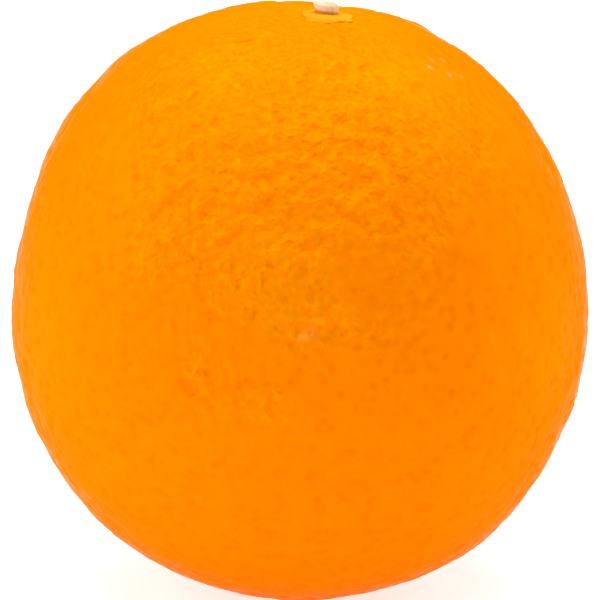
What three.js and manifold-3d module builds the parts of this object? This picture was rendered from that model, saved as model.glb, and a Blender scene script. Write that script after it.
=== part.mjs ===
// An orange: one round fruit with a dimpled peel, and at its stem end the dried calyx and the cut stub of the stem.
// Millimetres, +Z up. The origin is the middle of the small flat spot that the fruit rests on.
import * as THREE from 'three';
import { mergeVertices } from 'three/addons/utils/BufferGeometryUtils.js';
import Module from 'manifold-3d';

const { degToRad, lerp, seededRandom, smoothstep } = THREE.MathUtils;

// ---- Driving dimensions ----

const FRUIT_WIDTH = 78; // across the widest ring
const FRUIT_HEIGHT = 81.5; // blossom end to stem end, before the dip and the flat spot
const OUTLINE_POWER = 2.1; // 2 is an ellipse, more is squarer
const LEAN = degToRad(5); // of the stem end, towards +X
const FLAT_SPOT_DEPTH = 0.35; // how much of the underside is flat

// The dip that the calyx sits in, and the creases that run out of it
const DIP = { depth: 1.4, reach: 7 };
const CREASES = { count: 9, depth: 0.35, middle: 10, reach: 5, wander: 0.9 };

// Broad swells (+) and hollows (-) of the peel. Azimuth and elevation are seen from the fruit's middle.
const SWELLS = [
  { azimuth: 8, elevation: 40, reach: 26, height: -0.75 },
  { azimuth: 6, elevation: 26, reach: 10, height: -0.4 },
  { azimuth: 27, elevation: 62, reach: 8, height: -0.15 },
  { azimuth: 60, elevation: 74, reach: 8, height: -0.1 },
  { azimuth: 151, elevation: 62, reach: 8, height: -0.2 },
  { azimuth: 164, elevation: 54, reach: 22, height: 0.5 },
  { azimuth: 170, elevation: 32, reach: 7, height: 0.35 },
  { azimuth: 176, elevation: 13, reach: 9, height: -0.35 },
  { azimuth: -177, elevation: -12, reach: 17, height: 0.4 },
  { azimuth: -15, elevation: -46, reach: 9, height: 0.5 },
  { azimuth: -4, elevation: -12, reach: 12, height: 0.45 },
  { azimuth: -12, elevation: -36, reach: 14, height: 0.22 },
  { azimuth: -44, elevation: -69, reach: 8, height: -0.2 },
  { azimuth: -120, elevation: -74, reach: 9, height: -0.2 },
  { azimuth: -80, elevation: 18, reach: 30, height: 0.3 },
  { azimuth: -110, elevation: -25, reach: 24, height: -0.3 },
  { azimuth: 65, elevation: 5, reach: 26, height: 0.35 },
  { azimuth: 110, elevation: -35, reach: 28, height: -0.3 },
];

// The peel's dimples: larger and further apart than the pores of a real peel
const PEEL_FINENESS = 24; // rows of triangles along each edge of the geodesic ball
const DIMPLES = { count: 1250, depth: 0.55, reach: 1.5, wander: 1.1, seed: 41 };
const SMOOTH_ROUND_STEM = { from: 5, to: 11 }; // mm from the stem's axis
const SMOOTH_ROUND_BASE = { from: degToRad(12), to: degToRad(22) }; // from straight down

// The calyx: a thin disc with five uneven lobes. Azimuth in degrees, length from the axis, width in degrees.
const CALYX = { thickness: 0.55, core: 3.1, rimCurl: 0.15, sides: 60 };
const LOBES = [
  { azimuth: -38, length: 4.3, width: 20 },
  { azimuth: 22, length: 4.0, width: 24 },
  { azimuth: 92, length: 4.4, width: 22 },
  { azimuth: -175, length: 3.7, width: 30 },
  { azimuth: -106, length: 5.1, width: 26 },
];

// The stub: the stem end cut off just above the calyx, narrower at its foot and leaning aside at its cut end
const STUB = { width: 3.3, height: 0.95, taper: 0.25, aside: 0.35, dish: 0.12, sides: 32 };
const GAP = 0.3; // left between pieces that sit on each other

const HALF_WIDTH = FRUIT_WIDTH / 2;
const HALF_HEIGHT = FRUIT_HEIGHT / 2;
const UP = new THREE.Vector3(0, 0, 1);
const LEAN_AXIS = new THREE.Vector3(0, 1, 0);
const STRAIGHT_DOWN = UP.clone().negate().applyAxisAngle(LEAN_AXIS, -LEAN); // as the leaning fruit sees it

// ---- The smooth peel ----

function direction(azimuth, elevation) {
  return new THREE.Vector3().setFromSphericalCoords(1, degToRad(90 - elevation), degToRad(90 + azimuth))
    .applyAxisAngle(new THREE.Vector3(1, 0, 0), Math.PI / 2);
}

const swells = SWELLS.map((swell) => ({
  towards: direction(swell.azimuth, swell.elevation),
  reach: degToRad(swell.reach),
  height: swell.height,
}));

// A bell: 1 in the middle, 0.37 one reach away from it
function bell(distance, reach) {
  return Math.exp(-((distance / reach) ** 2));
}

// How deep the stem end is sunk at a distance from the stem's axis: a round dip, and creases running outwards
function stemEndDepth(fromAxis, azimuth) {
  const wandering = azimuth + CREASES.wander * Math.sin(azimuth * 2 + 1) / CREASES.count;
  const crease = (1 + Math.cos(CREASES.count * wandering)) / 2;
  return DIP.depth * bell(fromAxis, DIP.reach)
    + CREASES.depth * crease ** 2 * bell(fromAxis - CREASES.middle, CREASES.reach);
}

// Distance from the fruit's middle to the smooth peel along a unit vector
function peelRadius(towards) {
  const across = Math.hypot(towards.x, towards.y);
  const outline = ((across / HALF_WIDTH) ** OUTLINE_POWER
    + (Math.abs(towards.z) / HALF_HEIGHT) ** OUTLINE_POWER) ** (-1 / OUTLINE_POWER);
  const swollen = swells.reduce(
    (sum, swell) => sum + swell.height * bell(towards.angleTo(swell.towards), swell.reach), outline);
  const sunk = towards.z > 0 ? stemEndDepth(across * outline, Math.atan2(towards.y, towards.x)) : 0;
  return swollen - sunk;
}

// Height of the peel above the fruit's middle, at a point near the stem
function peelHeight(x, y) {
  const towards = new THREE.Vector3(x, y, HALF_HEIGHT).normalize();
  return peelRadius(towards) * towards.z;
}

// ---- Solids ----

function bare(geometry) {
  geometry.deleteAttribute('normal');
  geometry.deleteAttribute('uv');
  return mergeVertices(geometry);
}

// Moves each vertex to where the function takes it
function reshape(geometry, move) {
  const position = geometry.attributes.position;
  const point = new THREE.Vector3();
  for (let i = 0; i < position.count; i += 1) {
    move(point.fromBufferAttribute(position, i));
    position.setXYZ(i, point.x, point.y, point.z);
  }
  return geometry;
}

const wasm = await Module();
wasm.setup();

function toSolid(geometry) {
  return new wasm.Manifold(new wasm.Mesh({
    numProp: 3,
    vertProperties: geometry.attributes.position.array,
    triVerts: Uint32Array.from(geometry.index.array),
  }));
}

function toGeometry(solid) {
  const mesh = solid.getMesh();
  const geometry = new THREE.BufferGeometry();
  geometry.setAttribute('position', new THREE.BufferAttribute(mesh.vertProperties, 3));
  geometry.setIndex(new THREE.BufferAttribute(mesh.triVerts, 1));
  return geometry;
}

// Unit vectors spread evenly over a ball along a spiral from pole to pole, each then moved a little at random
function dimpleCentres() {
  seededRandom(DIMPLES.seed);
  const goldenTurn = Math.PI * (3 - Math.sqrt(5));
  return Array.from({ length: DIMPLES.count }, (_, i) => {
    const height = 1 - (2 * i + 1) / DIMPLES.count;
    const across = Math.sqrt(1 - height ** 2);
    const centre = new THREE.Vector3(across * Math.cos(i * goldenTurn), across * Math.sin(i * goldenTurn), height);
    const aside = new THREE.Vector3(seededRandom(), seededRandom(), seededRandom()).subScalar(0.5);
    return centre.addScaledVector(aside, 2 * DIMPLES.wander / HALF_WIDTH).normalize();
  });
}

// 1 where the dimples are at their full depth, 0 round the stem and on the underside
function dimpledness(towards, radius) {
  const fromAxis = towards.z > 0 ? Math.hypot(towards.x, towards.y) * radius : Infinity;
  return smoothstep(fromAxis, SMOOTH_ROUND_STEM.from, SMOOTH_ROUND_STEM.to)
    * smoothstep(towards.angleTo(STRAIGHT_DOWN), SMOOTH_ROUND_BASE.from, SMOOTH_ROUND_BASE.to);
}

// The fruit about its own middle and stem axis: a geodesic ball with each vertex moved out to the peel, and sunk
// where it is near the centre of a dimple. Half the depth is added everywhere, so the peel keeps its size.
function peelGeometry() {
  const centres = dimpleCentres();
  return reshape(bare(new THREE.IcosahedronGeometry(1, PEEL_FINENESS - 1)), (point) => {
    const towards = point.clone().normalize();
    const radius = peelRadius(towards);
    const closest = centres.reduce((most, centre) => Math.max(most, centre.dot(towards)), -1);
    const fromCentre = Math.acos(Math.min(closest, 1)) * radius;
    const relief = DIMPLES.depth * (0.5 - bell(fromCentre, DIMPLES.reach)) * dimpledness(towards, radius);
    point.copy(towards).multiplyScalar(radius + relief);
  });
}

// The leaning fruit with its underside cut flat at z = 0, and the place of its middle above that flat spot
function restingFruit() {
  const leaning = peelGeometry().rotateY(LEAN);
  leaning.computeBoundingBox();
  const middle = new THREE.Vector3(0, 0, -leaning.boundingBox.min.z - FLAT_SPOT_DEPTH);
  leaning.translate(0, 0, middle.z);
  const room = new THREE.BoxGeometry(2 * FRUIT_WIDTH, 2 * FRUIT_WIDTH, 2 * FRUIT_HEIGHT);
  room.translate(0, 0, FRUIT_HEIGHT);
  const geometry = toGeometry(toSolid(leaning).intersect(toSolid(bare(room))));

  const flatSpot = new THREE.Box3();
  reshape(geometry, (point) => {
    if (point.z < Number.EPSILON) flatSpot.expandByPoint(point);
  });
  const aside = flatSpot.getCenter(new THREE.Vector3());
  geometry.translate(-aside.x, -aside.y, 0);
  return { geometry, middle: middle.sub(aside) };
}

// Distance from the stem's axis to the calyx's edge: a round core that each lobe stands out of
function calyxReach(azimuth) {
  return LOBES.reduce((reach, lobe) => {
    const away = Math.abs(((azimuth - degToRad(lobe.azimuth)) / Math.PI + 3) % 2 - 1) * Math.PI;
    return Math.max(reach, CALYX.core + (lobe.length - CALYX.core) * bell(away, degToRad(lobe.width)));
  }, CALYX.core);
}

// A flat lens of revolution with radius 1, which is then stretched out to the lobes and laid on the peel
function calyxGeometry() {
  const top = [[0, 1], [0.35, 1], [0.6, 0.95], [0.8, 0.88], [0.93, 0.8], [1, 0.6]];
  const bottom = [[0.97, 0], [0.75, 0], [0.5, 0], [0.25, 0], [0, 0]];
  const profile = [...bottom.toReversed(), ...top.toReversed()].map(([x, y]) => new THREE.Vector2(x, y));
  const disc = bare(new THREE.LatheGeometry(profile, CALYX.sides).rotateX(Math.PI / 2));
  return reshape(disc, (point) => {
    const azimuth = Math.atan2(point.y, point.x);
    const share = Math.hypot(point.x, point.y);
    const reach = share * calyxReach(azimuth);
    const thickness = CALYX.thickness * point.z;
    point.set(reach * Math.cos(azimuth), reach * Math.sin(azimuth), 0);
    point.z = peelHeight(point.x, point.y) + GAP + thickness + CALYX.rimCurl * share ** 4;
  });
}

// The stub stands on the calyx: a short post with a shallow dish in its cut end
function stubGeometry() {
  const radius = STUB.width / 2;
  const foot = peelHeight(0, 0) + CALYX.thickness + 2 * GAP;
  const edge = foot + STUB.height;
  const profile = [
    [0, foot], [radius - STUB.taper, foot], [radius - STUB.taper / 3, lerp(foot, edge, 0.4)],
    [radius, lerp(foot, edge, 0.75)], [radius - 0.2, edge], [radius * 0.6, edge - STUB.dish], [0, edge - STUB.dish],
  ].map(([x, y]) => new THREE.Vector2(x, y));
  const post = bare(new THREE.LatheGeometry(profile, STUB.sides).rotateX(Math.PI / 2));
  return reshape(post, (point) => {
    const azimuth = Math.atan2(point.y, point.x);
    const oval = 1 + 0.06 * Math.cos(2 * azimuth + 1) + 0.04 * Math.cos(3 * azimuth);
    const aside = STUB.aside * (point.z - foot) / STUB.height;
    point.set(point.x * oval - aside, point.y * oval, point.z);
  });
}

// ---- The assembly ----

function piece(name, geometry, color, roughness) {
  geometry.computeVertexNormals();
  const mesh = new THREE.Mesh(geometry, new THREE.MeshStandardMaterial({ color, roughness, metalness: 0 }));
  mesh.name = name;
  return mesh;
}

const fruit = restingFruit();
const stemEnd = new THREE.Group();
stemEnd.add(piece('calyx', calyxGeometry(), 0xe3a935, 0.7));
stemEnd.add(piece('stem_stub', stubGeometry(), 0xdba77f, 0.85));
stemEnd.position.copy(fruit.middle);
stemEnd.rotation.y = LEAN;

const orange = new THREE.Group();
orange.add(piece('fruit', fruit.geometry, 0xf98a0a, 0.45));
orange.add(stemEnd);
export default orange;
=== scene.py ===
"""An orange: a dimpled peel, the dried calyx and the cut stub of the stem, on a pale floor in soft light.

Shapes are worked out in millimetres about the fruit's middle and its stem axis, and are put into metres,
leaning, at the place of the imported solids, when a mesh is made.
"""

from itertools import combinations
from math import cos, pi, radians, sin

import bpy
import numpy as np
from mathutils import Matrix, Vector


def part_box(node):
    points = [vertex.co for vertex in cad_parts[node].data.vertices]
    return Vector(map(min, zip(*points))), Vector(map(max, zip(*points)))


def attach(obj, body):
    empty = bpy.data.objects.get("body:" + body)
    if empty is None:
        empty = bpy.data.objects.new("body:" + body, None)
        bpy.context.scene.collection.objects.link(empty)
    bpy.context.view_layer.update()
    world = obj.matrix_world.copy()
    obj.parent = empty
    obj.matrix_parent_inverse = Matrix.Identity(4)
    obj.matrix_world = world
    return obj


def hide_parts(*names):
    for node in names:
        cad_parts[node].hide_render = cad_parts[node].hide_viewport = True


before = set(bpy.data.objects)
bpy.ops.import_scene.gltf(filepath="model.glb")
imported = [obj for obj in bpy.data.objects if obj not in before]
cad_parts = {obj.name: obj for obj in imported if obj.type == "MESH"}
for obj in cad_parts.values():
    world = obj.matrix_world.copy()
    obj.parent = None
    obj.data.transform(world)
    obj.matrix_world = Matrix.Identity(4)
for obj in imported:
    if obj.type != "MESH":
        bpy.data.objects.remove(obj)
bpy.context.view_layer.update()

# ---- The fruit's form, in millimetres ----

FRUIT_WIDTH = 78.0
FRUIT_HEIGHT = 81.5
OUTLINE_POWER = 2.1  # 2 is an ellipse, more is squarer
LEAN = radians(5)  # of the stem end, towards +X
# The dip round the stem, and the creases that run out of it
DIP = {"depth": 1.4, "reach": 7.0}
CREASES = {"count": 9, "depth": 0.35, "middle": 10.0, "reach": 5.0, "wander": 0.9}
# Swells (+) and hollows (-): azimuth, elevation and reach in degrees, and height
SWELLS = [
    (8, 40, 26, -0.75),
    (6, 26, 10, -0.4),
    (27, 62, 8, -0.15),
    (29, 63, 3, -0.3),
    (36, 67, 3, 0.4),
    (61, 74, 6, -0.25),
    (133, 70, 4, -0.15),
    (151, 62, 8, -0.2),
    (164, 54, 22, 0.5),
    (164, 45, 4, 0.25),
    (172, 23, 5, 0.2),
    (170, 32, 7, 0.35),
    (176, 13, 9, -0.35),
    (-177, -12, 17, 0.4),
    (-178, -11, 6, -0.18),
    (-15, -46, 9, 0.5),
    (-4, -12, 12, 0.45),
    (-12, -36, 14, 0.22),
    (-44, -69, 8, -0.2),
    (-28, -60, 6, 0.15),
    (-120, -74, 9, -0.2),
    (-80, 18, 30, 0.3),
    (-110, -25, 24, -0.3),
    (65, 5, 26, 0.35),
    (110, -35, 28, -0.3),
]
# A slight waviness everywhere: how many waves, from how short to how long, and how high each is
LUMPS = {"count": 28, "length": (6.0, 15.0), "height": 0.02, "seed": 5}

# ---- The peel's surface ----

PEEL_ROWS = 99  # rows of triangles along each edge of the geodesic ball
# A pore's depth is a random share of the full depth: the rarer the deep ones, the higher the power that the
# share is raised to. Where the peel is coarse no pore is shallower than the least share.
PORES = {
    "depth": 0.3,
    "rarity": 3,
    "rarity_where_coarse": 1.5,
    "least_where_coarse": 0.3,
    "shoulder": 0.5,
    "seed": 11,
}
PEBBLING = {"count": 200, "length": (1.6, 4.5), "height": 0.1, "seed": 8}
PEBBLE_HEIGHT = 0.1  # in millimetres, for each unit of the pebbling where the peel is fully coarse
# Where the peel is coarse: azimuth and elevation in degrees, how far round each place it is coarse, how
# far round it is smooth again, and how coarse
COARSE_PLACES = [
    (-98, 48, 28, 50, 1.0),
    (-97, 15, 10, 26, 1.15),
]
LEAST_COARSE = 0.25
# How the edge of the coarse places wanders, as an angle
COARSE_PATCHES = {"count": 20, "length": (10.0, 25.0), "height": radians(1.5), "seed": 4}
# Where the peel is yellower, which is round the stem end and in paler patches: azimuth, elevation and
# reach in degrees, and how yellow. This is partly the peel's own colour and partly painted light: the
# yellower top round the stem end and the patches at the upper right, on the right side and in the middle
# paint in more light.
YELLOWER_AND_PAINTED_LIGHT = [
    (0, 90, 36, 0.44),
    (0, 90, 9, 0.4),
    (-95, 17, 11, 0.36),
    (-60, 60, 11, 0.45),
    (-125, 60, 9, 0.3),
    (-30, 2, 15, 0.44),
    (-152, -8, 13, 0.32),
    (-130, -22, 26, 0.18),
    (-155, 12, 13, 0.15),
    (-44, -26, 12, 0.13),
]
ROUGHENING = 0.003  # uneven height from point to point
SMOOTH_ROUND_STEM = (2.5, 5.0)  # from the stem's axis, where the fine relief starts and where it is full
FLAT_SPOT_SOFTNESS = 0.12  # how softly the peel rounds into the flat spot
# Small marks: azimuth and elevation in degrees, reach across and along in millimetres, height, and tone,
# which is paler above 0 and deeper below. The pale tone is painted glints on the raised dots at the upper
# right and a painted highlight on the slight swells in the middle; the dark marks are dents, deeper in
# tone, and the last is the blossom end's scar.
MARKS = [
    (-41.0, 63.1, 0.32, 0.55, 0.12, 1.0),
    (-34.5, 65.0, 0.35, 0.5, 0.10, 0.6),
    (-26.3, 64.3, 0.35, 0.6, 0.10, 0.6),
    (-34.1, 60.4, 0.4, 0.55, 0.10, 0.7),
    (-28.3, 59.3, 0.3, 0.55, 0.10, 0.5),
    (-89.3, 7.7, 1.4, 0.8, 0.04, 0.2),
    (-90.9, 7.4, 0.4, 0.4, 0.05, 0.35),
    (-90.2, 11.8, 0.5, 0.5, -0.12, -0.5),
    (-88.4, 10.6, 1.6, 1.7, 0.03, 0.1),
    (-132.7, 67.7, 1.5, 0.4, -0.10, -0.9),
    (-72.6, 64.4, 0.9, 0.9, -0.14, -0.5),
    (-45.8, 67.6, 0.9, 0.8, -0.14, -0.6),
    (-101.8, -36.6, 0.5, 0.5, -0.18, -0.5),
    (-48.9, -7.6, 0.45, 0.45, -0.16, -1.0),
    (-79.0, -6.0, 0.4, 0.7, -0.10, -0.8),
    (-73.7, -6.1, 0.4, 0.5, -0.08, -0.5),
    (-68.5, -6.2, 0.4, 0.5, -0.08, -0.5),
    (0, -90, 1.7, 1.7, -0.60, -2.0),
]

# ---- The stem end ----

CALYX = {
    "core": 3.0,  # radius of the round part that the lobes stand out of
    "thickness": 0.5,
    "edge": 0.2,  # share of the thickness that is left at the edge
    "sunk": 0.1,  # into the peel
    "rib": 0.06,  # height of the rib along each lobe
    "rib_width": radians(5),
    "wrinkle": 0.02,
    "wrinkles": 31,  # round the calyx
    "collar": 0.38,  # how far the middle swells up to the stub
    "collar_reach": 3.0,
    "ragged": 0.05,
    "ragged_waves": [(11, 0.3), (17, 2.0), (29, 4.1)],  # how many round the edge, and phase
    "sides": 240,
    "rings": 44,
}
# Azimuth in degrees, length from the axis, width in degrees, how far the tip lifts off the peel
LOBES = [
    (-38, 4.1, 22, 0.1),
    (22, 3.6, 26, 0.1),
    (92, 4.2, 24, 0.15),
    (-175, 3.3, 36, 0.05),
    (-106, 5.2, 32, -0.05),
]
FADED_LOBE = radians(-106)  # the sepal that has dried flat against the peel and taken its colour
STUB = {
    "width": 3.2,
    "height": 1.6,
    "taper": 0.17,  # share of the width that the foot is narrower by
    "rim": 0.14,  # share of the half width that the rounded rim takes up
    "dish": 0.08,
    "slope": 0.05,  # of the cut face
    "slope_towards": 2.6,
    "lean": 0.45,  # how far the cut face stands aside of the foot
    "ridges": 13,  # down the side
    "ridge": 0.02,  # height of a ridge, as a share of the half width
    "roughness": 0.03,  # of the cut face
    # azimuth of the stub's side that is made browner, as painted shade
    "painted_shade_side": radians(-20),
    "sides": 120,
    "seed": 3,
}

MM = 0.001


def unit(vectors):
    """Each vector divided by its length."""
    return vectors / np.linalg.norm(vectors, axis=-1, keepdims=True)


def bell(distance, reach):
    """exp(-(distance / reach) squared): 1 in the middle, 0.37 one reach away."""
    return np.exp(-((distance / reach) ** 2))


def smoothstep(x, low, high):
    """0 below low, 1 above high, and 3t^2 - 2t^3 between them."""
    t = np.clip((x - low) / (high - low), 0, 1)
    return t * t * (3 - 2 * t)


def direction(azimuth, elevation):
    """The unit vector at an azimuth and an elevation in degrees."""
    a, e = radians(azimuth), radians(elevation)
    return np.array([cos(e) * cos(a), cos(e) * sin(a), sin(e)])


def waves(towards, count, length, height, seed):
    """An even, patternless unevenness: a sum of plane waves through the ball, each with a random heading,
    phase and wavelength."""
    random = np.random.default_rng(seed)
    heading = unit(random.normal(size=(count, 3)))
    turns = pi * FRUIT_WIDTH / random.uniform(*length, size=count)
    phase = random.uniform(0, 2 * pi, size=count)
    return height * np.sin(towards @ (heading * turns[:, None]).T + phase).sum(axis=-1)


def stem_end_depth(from_axis, azimuth):
    """A round bell-shaped dip, plus creases that are the square of a raised cosine round the axis, under
    a bell along the distance from the axis."""
    wandering = azimuth + CREASES["wander"] * np.sin(azimuth * 2 + 1) / CREASES["count"]
    crease = (1 + np.cos(CREASES["count"] * wandering)) / 2
    fade = bell(from_axis - CREASES["middle"], CREASES["reach"])
    return DIP["depth"] * bell(from_axis, DIP["reach"]) + CREASES["depth"] * crease**2 * fade


def peel_radius(towards):
    """Distance from the fruit's middle to the peel along unit vectors: a superellipse of revolution, plus
    a bell for each swell by its angle away, plus the lumps, less the stem end's dip and creases."""
    across = np.hypot(towards[..., 0], towards[..., 1])
    power = OUTLINE_POWER
    outwards, upwards = across * 2 / FRUIT_WIDTH, abs(towards[..., 2]) * 2 / FRUIT_HEIGHT
    radius = (outwards**power + upwards**power) ** (-1 / power)
    from_axis = np.where(towards[..., 2] > 0, across * radius, FRUIT_WIDTH)
    for azimuth, elevation, reach, height in SWELLS:
        angle = np.arccos(np.clip(towards @ direction(azimuth, elevation), -1, 1))
        radius = radius + height * bell(angle, radians(reach))
    azimuths = np.arctan2(towards[..., 1], towards[..., 0])
    return radius + waves(towards, **LUMPS) - stem_end_depth(from_axis, azimuths)


def peel_height(x, y):
    """Height of the peel above the fruit's middle near the stem: the ray through (x, y) at the fruit's
    half height, followed out to the peel."""
    towards = unit(np.stack([x, y, np.full_like(x, FRUIT_HEIGHT / 2)], axis=-1))
    return peel_radius(towards) * towards[..., 2]


def marks(towards):
    """Height and tone of the small marks along unit vectors: each is a bell of the distance across, which
    is measured along the X axis laid on the peel, and of the distance along, which is square to that."""
    height, tone = np.zeros(len(towards)), np.zeros(len(towards))
    for azimuth, elevation, wide, high, raised, shade in MARKS:
        centre = direction(azimuth, elevation)
        across = unit(np.array([1, 0, 0]) - centre * centre[0])
        along = np.cross(centre, across)
        away = np.hypot(towards @ across / wide, towards @ along / high) * FRUIT_WIDTH / 2
        share = np.where(towards @ centre > 0, bell(away, 1), 0)
        height += raised * share
        tone += shade * share
    return height, tone


def leaning(points):
    """Points turned about the Y axis by the fruit's lean."""
    x, y, z = points.T
    return np.stack([x * cos(LEAN) + z * sin(LEAN), y, z * cos(LEAN) - x * sin(LEAN)], axis=-1)


# ---- Meshes ----


def geodesic_ball(rows):
    """Points and triangles of a ball of radius 1. Each of the icosahedron's 20 faces is a triangular
    grid: a point's three shares of the corners are weighted by sin(share x edge angle), which spaces the
    points evenly, and the sum is pushed out to radius 1. Points on shared edges are merged."""
    golden = (1 + 5**0.5) / 2
    signs = ((-1, -1), (-1, 1), (1, -1), (1, 1))
    corners = unit(np.array([np.roll((0, a, b * golden), k) for k in range(3) for a, b in signs]))
    joined = corners @ corners.T > 0.4
    faces = [f for f in combinations(range(12), 3) if all(joined[a, b] for a, b in combinations(f, 2))]
    faces = [f if np.linalg.det(corners[list(f)]) > 0 else f[::-1] for f in faces]
    i, j = np.array([(i, j) for i in range(rows + 1) for j in range(rows + 1 - i)]).T
    edge_angle = np.arccos(corners[faces[0][0]] @ corners[faces[0][1]])
    weights = np.sin(np.stack([rows - i - j, i, j], axis=-1) / rows * edge_angle)
    points = unit(np.concatenate([weights @ corners[list(f)] for f in faces]))

    number = np.zeros((rows + 2, rows + 2), int)
    number[i, j] = np.arange(len(i))
    a, b = i[i + j < rows], j[i + j < rows]
    upright = np.stack([number[a, b], number[a + 1, b], number[a, b + 1]], axis=-1)
    a, b = i[i + j < rows - 1], j[i + j < rows - 1]
    inverted = np.stack([number[a + 1, b], number[a + 1, b + 1], number[a, b + 1]], axis=-1)
    grid = np.concatenate([upright, inverted])
    triangles = np.concatenate([grid + k * len(i) for k in range(len(faces))])

    _, first, merged = np.unique(points.round(6), axis=0, return_index=True, return_inverse=True)
    return points[first], merged.reshape(-1)[triangles]


def near_pairs(triangles):
    """Pairs of points that share an edge, and pairs that face each other across one."""
    start, end, facing = (np.concatenate([triangles[:, (k + s) % 3] for k in range(3)]) for s in range(3))
    low, high = np.minimum(start, end), np.maximum(start, end)
    order = np.lexsort((high, low))
    edges = np.stack([low, high], axis=-1)[order][::2]
    across = facing[order].reshape(-1, 2)
    return edges, across


def scatter(count, pairs, random):
    """Picks points at random so that no two picked ones are a pair. In each round a free point is picked
    if it outranks all the free points that it is paired with, and those are then free no more."""
    rank = random.permutation(count) + 1
    left, right = np.concatenate([pairs, pairs[:, ::-1]]).T
    picked = np.zeros(count, bool)
    free = np.ones(count, bool)
    while free.any():
        standing = np.where(free, rank, 0)
        rival = np.zeros(count, int)
        np.maximum.at(rival, left, standing[right])
        winners = free & (standing > rival)
        picked |= winners
        free &= ~winners
        free[right[winners[left]]] = False
    return picked


def piece(name, points, faces, material, node, attributes=()):
    """A smooth mesh of points in millimetres about the fruit's middle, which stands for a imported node."""
    mesh = bpy.data.meshes.new(name)
    mesh.from_pydata((points * MM).tolist(), [], faces.tolist())
    mesh.polygons.foreach_set("use_smooth", np.ones(len(mesh.polygons), bool))
    for key, values in dict(attributes).items():
        mesh.attributes.new(key, "FLOAT", "POINT").data.foreach_set("value", values.astype(np.float32))
    mesh.materials.append(material)
    made = bpy.data.objects.new(name, mesh)
    bpy.context.scene.collection.objects.link(made)
    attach(made, "root")
    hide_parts(node)
    return made


# ---- Materials ----


class Value:
    """A socket that carries a number, colour or vector. Arithmetic on it adds Math nodes."""

    def __init__(self, nodes, socket):
        self.nodes, self.socket = nodes, socket

    def maths(self, operation, *values):
        return self.nodes.add("Math", {"operation": operation}, *values)

    def __add__(self, other):
        return self.maths("ADD", self, other)

    def __mul__(self, other):
        return self.maths("MULTIPLY", self, other)

    __radd__, __rmul__ = __add__, __mul__


class Nodes:
    """A node tree in the making."""

    def __init__(self, tree):
        self.tree = tree

    def set(self, node, sockets):
        """Puts values or links into a node's sockets, which are named by words with _ for a space, or by
        number."""
        for key, value in sockets.items():
            socket = node.inputs[int(key) if str(key).isdigit() else key.replace("_", " ")]
            if isinstance(value, Value):
                self.tree.links.new(value.socket, socket)
            else:
                socket.default_value = value

    def add(self, kind, settings, *values, output=0, **sockets):
        """Any node: its type, settings, then the values or links of its sockets, in order or by name."""
        made = self.tree.nodes.new("ShaderNode" + kind)
        for key, value in settings.items():
            setattr(made, key, value)
        self.set(made, {**dict(enumerate(values)), **sockets})
        return Value(self, made.outputs[output])

    def attribute(self, name):
        return self.add("Attribute", {"attribute_name": name}, output="Fac")

    def place(self):
        return self.add("TexCoord", {}, output="Object")

    def noise(self, size, detail=2.0):
        """Soft noise from 0 to 1 whose lumps are about this many millimetres across."""
        return self.add("TexNoise", {}, Vector=self.place(), Scale=1 / (size * MM), Detail=detail)

    def step(self, value, low, high, bottom=0.0, top=1.0):
        """bottom below low, top above high and smooth between them."""
        return self.add("MapRange", {"interpolation_type": "SMOOTHSTEP"}, value, low, high, bottom, top)

    def blend(self, share, colour_a, colour_b):
        """colour_a where share is 0, colour_b where it is 1. A colour Mix node's inputs 6 and 7 are its
        colours."""
        return self.add("Mix", {"data_type": "RGBA"}, share, output=2, **{"6": colour_a, "7": colour_b})

    def bump(self, height, distance, below=None):
        """Bends the light as if the surface stood up by distance millimetres where height is 1."""
        under = {} if below is None else {"Normal": below}
        return self.add("Bump", {}, Height=height, Distance=distance * MM, Strength=1.0, **under)


def finish(name, look, **constants):
    """A material whose Principled shader has these constants and what look(nodes) returns for its varying
    sockets."""
    material = bpy.data.materials.new(name)
    material.use_nodes = True
    nodes = Nodes(material.node_tree)
    nodes.set(nodes.tree.nodes["Principled BSDF"], {**constants, **look(nodes)})
    return material


def rgb(red, green, blue):
    return (red, green, blue, 1.0)


PEEL_ORANGE = rgb(0.83, 0.181, 0.0)
# lighter: the peel's own mottle, and painted light on pebble crests and raised flecks
PEEL_LIGHT = rgb(0.83, 0.210, 0.0)
# yellower: the peel's own round the stem end, and painted light in the yellower patches and on flecks
PEEL_YELLOW = rgb(0.80, 0.262, 0.0)
# deeper orange of the pores: partly their own colour, partly painted shade in the pits; also the dark
# marks' tone
PORE_AND_SHADE_ORANGE = rgb(0.72, 0.108, 0.0)
# pale marks: painted glints and a painted highlight
PAINTED_GLINT_PALE = rgb(0.90, 0.34, 0.08)
PEEL_TINTED_GLOSS = 0.1
SMALL_PORES_APART = 0.9
WAX = {"Coat_Weight": 1.0, "Coat_Roughness": 0.15, "Coat_IOR": 1.013}
SEPAL_DEEP = rgb(0.86, 0.29, 0.003)
SEPAL_YELLOW = rgb(0.88, 0.33, 0.005)
SEPAL_TIP = rgb(0.86, 0.33, 0.03)
SEPAL_FADED = rgb(0.88, 0.226, 0.0)
# painted shadow where the stub stands on the calyx
SEPAL_BROWN_SHADOW = rgb(0.52, 0.22, 0.01)
STEM_ROSE = rgb(0.66, 0.50, 0.40)
STEM_BEIGE = rgb(0.72, 0.58, 0.48)
# cream side wall, lighter than the cut face: partly painted light
STEM_CREAM_LIT = rgb(0.82, 0.70, 0.54)
# painted shadow at the stub's foot and painted shade on one side
STEM_BROWN_SHADE = rgb(0.64, 0.32, 0.06)


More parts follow.
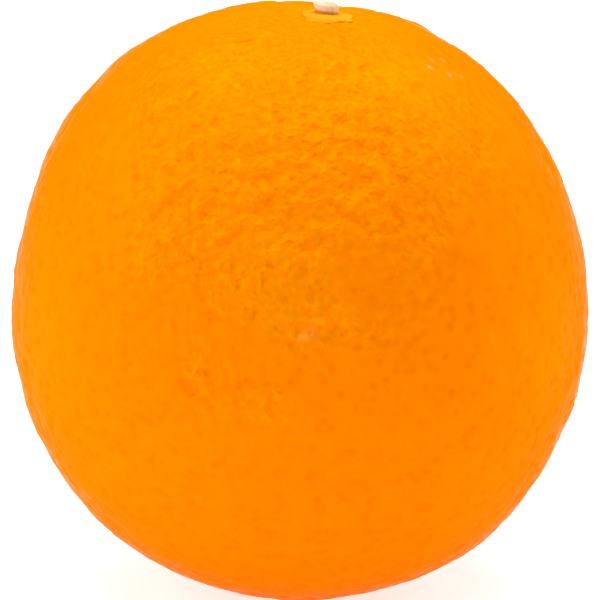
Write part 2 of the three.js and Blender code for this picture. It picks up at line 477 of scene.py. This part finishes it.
def peel_look(nodes):
    """Waxy orange rind: softly mottled; lighter on its pebbles' crests and yellower on its raised flecks,
    which is painted light on the relief; yellower round the stem end and in patches, partly painted light;
    deeper and duller in the pores, partly their own colour and partly painted shade in the pits; with a few
    dark marks in dents, and pale marks that are painted glints and a painted highlight."""
    pore, coarse, pebble = nodes.attribute("pore"), nodes.attribute("coarse"), nodes.attribute("pebble")
    cells = nodes.add("TexVoronoi", {"feature": "SMOOTH_F1"}, Vector=nodes.place(),
                      Scale=1 / (SMALL_PORES_APART * MM))
    small_pore = nodes.step(cells, 0.5, 0.05) * coarse
    fleck = nodes.step(nodes.noise(1.0, 2.0), 0.35, 0.65) * coarse
    mottle = nodes.step(nodes.noise(9.0, 3.0), 0.3, 0.7) * 0.25 + fleck * 0.3
    # Painted light on the relief: lighter on the pebbles' crests and on raised flecks, over the peel's own
    # mottle
    colour = nodes.blend(mottle + nodes.step(pebble, -2.0, 2.0) * coarse * 0.4, PEEL_ORANGE, PEEL_LIGHT)
    # Yellower round the stem end and in patches, partly the peel's own colour and partly painted light, and
    # on raised flecks, painted light
    colour = nodes.blend(nodes.attribute("yellow") + fleck * fleck * 0.35, colour, PEEL_YELLOW)
    # Deeper in the pores: partly their own colour, partly painted shade in the pits
    colour = nodes.blend(pore * 0.36 + small_pore * 0.16, colour, PORE_AND_SHADE_ORANGE)
    tone = nodes.attribute("tone")
    colour = nodes.blend(nodes.step(tone, 0.0, -1.0) * 0.6, colour, PORE_AND_SHADE_ORANGE)
    # Painted glints and highlight: the pale tone of the pale marks
    colour = nodes.blend(nodes.step(tone, 0.0, 1.0), colour, PAINTED_GLINT_PALE)
    roughness = 0.34 + nodes.noise(3.0) * 0.08 + pore * 0.1
    normal = nodes.bump(fleck, 0.09)
    normal = nodes.bump(small_pore, -0.08, normal)
    return {"Base_Color": colour, "Roughness": roughness, "Normal": normal}


def calyx_look(nodes):
    """Dried sepals: yellow, paler at the tips, orange where one has dried flat onto the peel, and brown
    round the stem, which is painted shadow where the stub stands on the calyx."""
    grain = nodes.step(nodes.noise(0.6, 3.0), 0.3, 0.7)
    colour = nodes.blend(grain, SEPAL_DEEP, SEPAL_YELLOW)
    colour = nodes.blend(nodes.attribute("tip") * 0.3, colour, SEPAL_TIP)
    colour = nodes.blend(nodes.attribute("faded"), colour, SEPAL_FADED)
    colour = nodes.blend(nodes.attribute("stub_shadow"), colour, SEPAL_BROWN_SHADOW)
    return {"Base_Color": colour, "Normal": nodes.bump(nodes.noise(0.25, 3.0), 0.04)}


def stub_look(nodes):
    """Cut stem wood: a pinkish beige cut face; cream down its side, partly painted light on the side wall;
    and brown at its foot and on one side, which is painted shadow at the foot and painted shade on that
    side."""
    grain = nodes.step(nodes.noise(0.5, 3.0), 0.3, 0.7)
    colour = nodes.blend(grain, STEM_ROSE, STEM_BEIGE)
    colour = nodes.blend(nodes.attribute("side"), colour, STEM_CREAM_LIT)
    colour = nodes.blend(nodes.attribute("brown"), colour, STEM_BROWN_SHADE)
    return {"Base_Color": colour, "Normal": nodes.bump(nodes.noise(0.2, 3.0), 0.05)}


# ---- The pieces ----


def make_peel():
    """The whole peel: a geodesic ball pushed out to the peel's radius and its small marks, then by
    pebbles whose height goes with the coarseness. The coarseness at a point is the most that any coarse
    place gives it, each place fading from its near angle to its far one. A pore is a picked point, sunk
    by its own random depth, with its neighbours sunk by a share of that. The yellowness is a sum of
    bells. The underside is pressed flat by a soft maximum with the floor, which is half of
    z + sqrt(z^2 + softness^2). Returns the place of the fruit's middle."""
    random = np.random.default_rng(PORES["seed"])
    towards, triangles = geodesic_ball(PEEL_ROWS)
    edges, across = near_pairs(triangles)
    picked = scatter(len(towards), np.concatenate([edges, across]), random)
    patches = waves(towards, **COARSE_PATCHES)
    coarse = np.full(len(towards), LEAST_COARSE)
    for azimuth, elevation, near, far, most in COARSE_PLACES:
        away = np.arccos(towards @ direction(azimuth, elevation)) + patches
        coarse = np.maximum(coarse, most * smoothstep(-away, -radians(far), -radians(near)))
    rarity = PORES["rarity"] + (PORES["rarity_where_coarse"] - PORES["rarity"]) * coarse
    least = PORES["least_where_coarse"] * coarse
    size = np.where(picked, least + (1 - least) * random.random(len(towards)) ** rarity, 0)
    shoulder = np.zeros(len(towards))
    for a, b in (edges.T, edges.T[::-1]):
        np.maximum.at(shoulder, a, size[b])
    pore = np.maximum(size, PORES["shoulder"] * shoulder)
    pebbles = waves(towards, **PEBBLING)
    radius = peel_radius(towards)
    from_axis = np.hypot(towards[:, 0], towards[:, 1]) * radius
    rough_share = np.where(towards[:, 2] > 0, smoothstep(from_axis, *SMOOTH_ROUND_STEM), 1)
    unevenness = ROUGHENING * random.normal(size=len(towards))
    grain = PEBBLE_HEIGHT * coarse * pebbles + unevenness - PORES["depth"] * pore
    raised, tone = marks(towards)
    # Yellowness: partly the peel's own colour, partly painted light in patches
    yellow = np.zeros(len(towards))
    for azimuth, elevation, reach, most in YELLOWER_AND_PAINTED_LIGHT:
        yellow += most * bell(np.arccos(towards @ direction(azimuth, elevation)), radians(reach))
    points = leaning(towards * (radius + raised + grain * rough_share)[:, None])

    low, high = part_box("fruit")
    sides = (points.max(axis=0) + points.min(axis=0)) / 2
    middle = np.array((low + high) / 2) / MM - sides
    middle[2] = high.z / MM - points[:, 2].max()
    points += middle
    height = points[:, 2]
    points[:, 2] = (height + np.sqrt(height**2 + FLAT_SPOT_SOFTNESS**2)) / 2
    points[:, 2] -= points[:, 2].min()
    attributes = {"pore": pore, "coarse": coarse, "pebble": pebbles, "tone": tone, "yellow": yellow}
    material = finish("peel", peel_look, Specular_Tint=rgb(1.0, 0.6, 0.1), Specular_IOR_Level=0.0,
                      Metallic=PEEL_TINTED_GLOSS, **WAX)
    piece("peel", points, triangles, material, "fruit", attributes)
    return middle


def turned_triangles(rings, around):
    """Triangles of a closed surface of rings of points, with one more point closing it at each end."""
    here = np.arange(around)
    after = np.roll(here, -1)
    start = (np.arange(rings - 1) * around)[:, None]
    near, near_after = start + here, start + after
    far, far_after = start + around + here, start + around + after
    walls = [np.stack(corners, axis=-1).reshape(-1, 3)
             for corners in ((near, near_after, far_after), (near, far_after, far))]
    first, last = rings * around, rings * around + 1
    last_ring = (rings - 1) * around
    ends = [np.stack([np.full(around, first), after, here], axis=-1),
            np.stack([np.full(around, last), last_ring + here, last_ring + after], axis=-1)]
    return np.concatenate(walls + ends)


def calyx_reach(azimuth):
    """Distance from the stem's axis to the calyx's edge: a round core, out of which each lobe stands by a
    bell of the angle from the lobe's own azimuth, and a ragged edge that is a sum of sines."""
    reach = np.full_like(azimuth, CALYX["core"])
    for lobe, length, width, _ in LOBES:
        away = abs((azimuth - radians(lobe) + pi) % (2 * pi) - pi)
        reach = np.maximum(reach, CALYX["core"] + (length - CALYX["core"]) * bell(away, radians(width)))
    ragged = sum(np.sin(azimuth * k + phase) for k, phase in CALYX["ragged_waves"])
    return reach + CALYX["ragged"] * ragged


def make_calyx(middle):
    """Five uneven sepals round the stub. Along a ring from the top's middle over the edge to the middle
    of the underside, the share of the reach is sin(t) and the thickness is halved about a mid surface,
    with a rounded edge sqrt(1 - share^8). The mid surface lies on the peel and each tip lifts off it."""
    around, rings = CALYX["sides"], CALYX["rings"]
    azimuth = np.linspace(0, 2 * pi, around, endpoint=False)[None, :]
    t = (np.arange(rings) + 1)[:, None] * pi / (rings + 1)
    share, side = np.sin(t) + 0 * azimuth, np.sign(np.cos(t))
    reach = calyx_reach(azimuth) * share
    lift, rib = np.zeros_like(reach), np.zeros_like(reach)
    for lobe, length, width, raised in LOBES:
        away = abs((azimuth - radians(lobe) + pi) % (2 * pi) - pi)
        lift += raised * bell(away, radians(width)) * smoothstep(share, 0.5, 1.0)
        rib += bell(away, CALYX["rib_width"]) * bell(share - 0.7, 0.3)
    x, y = reach * np.cos(azimuth), reach * np.sin(azimuth)
    thick = CALYX["thickness"] * (1 - (1 - CALYX["edge"]) * share**2)
    lens = thick / 2 * np.sqrt(1 - np.minimum(share, 1) ** 8)
    wrinkle = CALYX["wrinkle"] * np.sin(azimuth * CALYX["wrinkles"] + 4 * share)
    wrinkle = wrinkle * smoothstep(share, 0.4, 0.8)
    z = peel_height(x, y) - CALYX["sunk"] + lift + thick / 2 + side * lens
    collar = CALYX["collar"] * bell(reach, CALYX["collar_reach"])
    z += np.where(side > 0, CALYX["rib"] * rib + wrinkle + collar, 0)
    ring_points = np.stack([x, y, z], axis=-1).reshape(-1, 3)
    ends = np.stack([z[0].mean(), z[-1].mean()])
    points = np.concatenate([ring_points, np.array([[0, 0, ends[0]], [0, 0, ends[1]]])])
    to_faded = abs((azimuth - FADED_LOBE + pi) % (2 * pi) - pi)
    flat = bell(to_faded, radians(55))
    faded = np.concatenate([(smoothstep(share, 0.35, 0.95) * flat).reshape(-1), [0, 0]])
    tip = np.concatenate([(smoothstep(share, 0.55, 1.0) * (1 - flat)).reshape(-1), [0, 0]])
    # Browner round the stub's foot: painted shadow where the stub stands on the calyx
    stub_shadow = np.concatenate([(1 - smoothstep(reach, 1.35, 2.3)).reshape(-1), [1, 1]])
    material = finish("dried_calyx", calyx_look, Roughness=0.7, Specular_IOR_Level=0.04)
    piece("calyx", leaning(points) + middle, turned_triangles(rings, around), material, "calyx",
          {"faded": faded, "tip": tip, "stub_shadow": stub_shadow})


def make_stub(middle):
    """The cut stem end: a post that narrows to its foot and leans, with faint ridges down its side and a
    shallow rough dish in its sloping cut face. Its profile runs from the middle of the cut face over a
    rounded rim and down to the foot."""
    around = STUB["sides"]
    azimuth = np.linspace(0, 2 * pi, around, endpoint=False)[None, :]
    foot = peel_height(np.zeros(1), np.zeros(1))[0] + CALYX["thickness"] - CALYX["sunk"]
    top = foot + STUB["height"]
    half = STUB["width"] / 2
    flat, foot_share = 1 - STUB["rim"], 0.6
    rim_drop = STUB["rim"] * half
    face = np.linspace(0.06, flat, 12)
    rim = np.linspace(0, pi / 2, 7)
    wall = np.linspace(0.1, 1, 12)
    share = np.concatenate([face, flat + STUB["rim"] * np.sin(rim), 1 - STUB["taper"] * wall**2,
                            [foot_share]])[:, None]
    drop = np.concatenate([STUB["dish"] * (1 - face**2), rim_drop * (1 - np.cos(rim)),
                           rim_drop + (STUB["height"] - rim_drop) * wall, [STUB["height"]]])[:, None]
    oval = 1 + 0.06 * np.cos(2 * azimuth + 1) + 0.04 * np.cos(3 * azimuth)
    ridges = 1 + STUB["ridge"] * np.sin(azimuth * STUB["ridges"]) * smoothstep(share, 0.7, 1.0)
    radius = half * share * oval * ridges
    random = np.random.default_rng(STUB["seed"])
    rough = STUB["roughness"] * random.normal(size=(len(share), around)) * (share < 0.97)
    tilt = STUB["slope"] * share * np.cos(azimuth - STUB["slope_towards"])
    z = top - drop + (rough + tilt * half) * (drop < STUB["height"] * 0.6)
    aside = STUB["lean"] * (1 - drop / STUB["height"])
    x, y = radius * np.cos(azimuth) - aside, radius * np.sin(azimuth)
    points = np.stack([x, y, z], axis=-1).reshape(-1, 3)
    ends = np.array([[-STUB["lean"], 0, z[0].mean()], [0, 0, z[-1].mean()]])
    # The side wall is cream, lighter than the cut face: partly painted light
    side = np.concatenate([(smoothstep(drop, 0.03, 0.2) + 0 * azimuth).reshape(-1), [0, 1]])
    # Painted shadow at the foot and painted shade on one side, both browner
    foot_shadow = smoothstep(drop / STUB["height"], 0.4, 0.7)
    side_shade = 0.5 * smoothstep(np.cos(azimuth - STUB["painted_shade_side"]), 0.2, 1.0)
    side_shade = side_shade * (drop > 0)  # the edge of the cut face stays pale
    brown = np.concatenate([np.maximum(foot_shadow, side_shade).reshape(-1), [0, 1]])
    material = finish("cut_stem", stub_look, Roughness=0.75, Specular_IOR_Level=0.1)
    points = leaning(np.concatenate([points, ends])) + middle
    piece("stem_stub", points, turned_triangles(len(share), around), material, "stem_stub",
          {"side": side, "brown": brown})


middle = make_peel()
make_calyx(middle)
make_stub(middle)


# ---- Camera, floor and light ----

WHITE = rgb(1.0, 1.0, 1.0)
FLOOR_GREY = rgb(0.6, 0.6, 0.6)
FLOOR_HALF = 1.5  # metres from the floor's middle to its edge
FLOOR_GLOW = 0.68
# Size in metres, power in watts and place of each softbox
SOFTBOXES = {
    "overhead_softbox": ((1.6, 1.2), 23.6, (0.0, 0.0, 1.2)),
    "left_softbox": ((2.4, 1.65), 31.0, (-1.6, -0.08, 0.78)),
    "right_softbox": ((2.4, 1.75), 26.3, (1.5, 0.5, 0.8)),
    "front_softbox": ((1.0, 1.0), 4.0, (0.0, -1.7, 0.6)),
}
ELEVATION = radians(14.5)
CAMERA_DISTANCE = 0.78
FIELD = 81.66 * MM  # what the square frame spans at the fruit
SENSOR = 36.0
AIM_OFFSET = Vector((0.02, 0, -0.1)) * MM  # from the fruit's middle

camera_data = bpy.data.cameras.new("camera")
camera_data.sensor_width = SENSOR
camera_data.lens = SENSOR * CAMERA_DISTANCE / FIELD
camera = bpy.data.objects.new("camera", camera_data)
bpy.context.scene.collection.objects.link(camera)
low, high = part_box("fruit")
aim = (low + high) / 2 + AIM_OFFSET
camera.location = aim + CAMERA_DISTANCE * Vector((0, -cos(ELEVATION), sin(ELEVATION)))
camera.rotation_euler = (pi / 2 - ELEVATION, 0, 0)
bpy.context.scene.camera = camera

floor_mesh = bpy.data.meshes.new("floor")
floor_corners = [(x * FLOOR_HALF, y * FLOOR_HALF, 0) for x, y in ((-1, -1), (1, -1), (1, 1), (-1, 1))]
floor_mesh.from_pydata(floor_corners, [], [(0, 1, 2, 3)])
floor = bpy.data.objects.new("floor", floor_mesh)
bpy.context.scene.collection.objects.link(floor)
floor_material = finish("pale_floor", lambda nodes: {}, Base_Color=FLOOR_GREY, Roughness=0.9,
                        Emission_Color=WHITE, Emission_Strength=FLOOR_GLOW)
floor_mesh.materials.append(floor_material)

world = bpy.data.worlds.new("studio")
bpy.context.scene.world = world
world.use_nodes = True
Nodes(world.node_tree).set(world.node_tree.nodes["Background"], {"Color": WHITE})
# A white backdrop that lights nothing: the light is the softboxes' and the floor's
world.cycles_visibility.diffuse = False
world.cycles_visibility.glossy = False

for name, (size, power, place) in SOFTBOXES.items():
    light = bpy.data.lights.new(name, "AREA")
    light.shape = "RECTANGLE"
    light.size, light.size_y = size
    light.energy = power
    softbox = bpy.data.objects.new(name, light)
    bpy.context.scene.collection.objects.link(softbox)
    softbox.location = place
    softbox.rotation_euler = (aim - softbox.location).to_track_quat("-Z", "Y").to_euler()
    softbox.visible_camera = False

bpy.context.scene.view_settings.view_transform = "Standard"
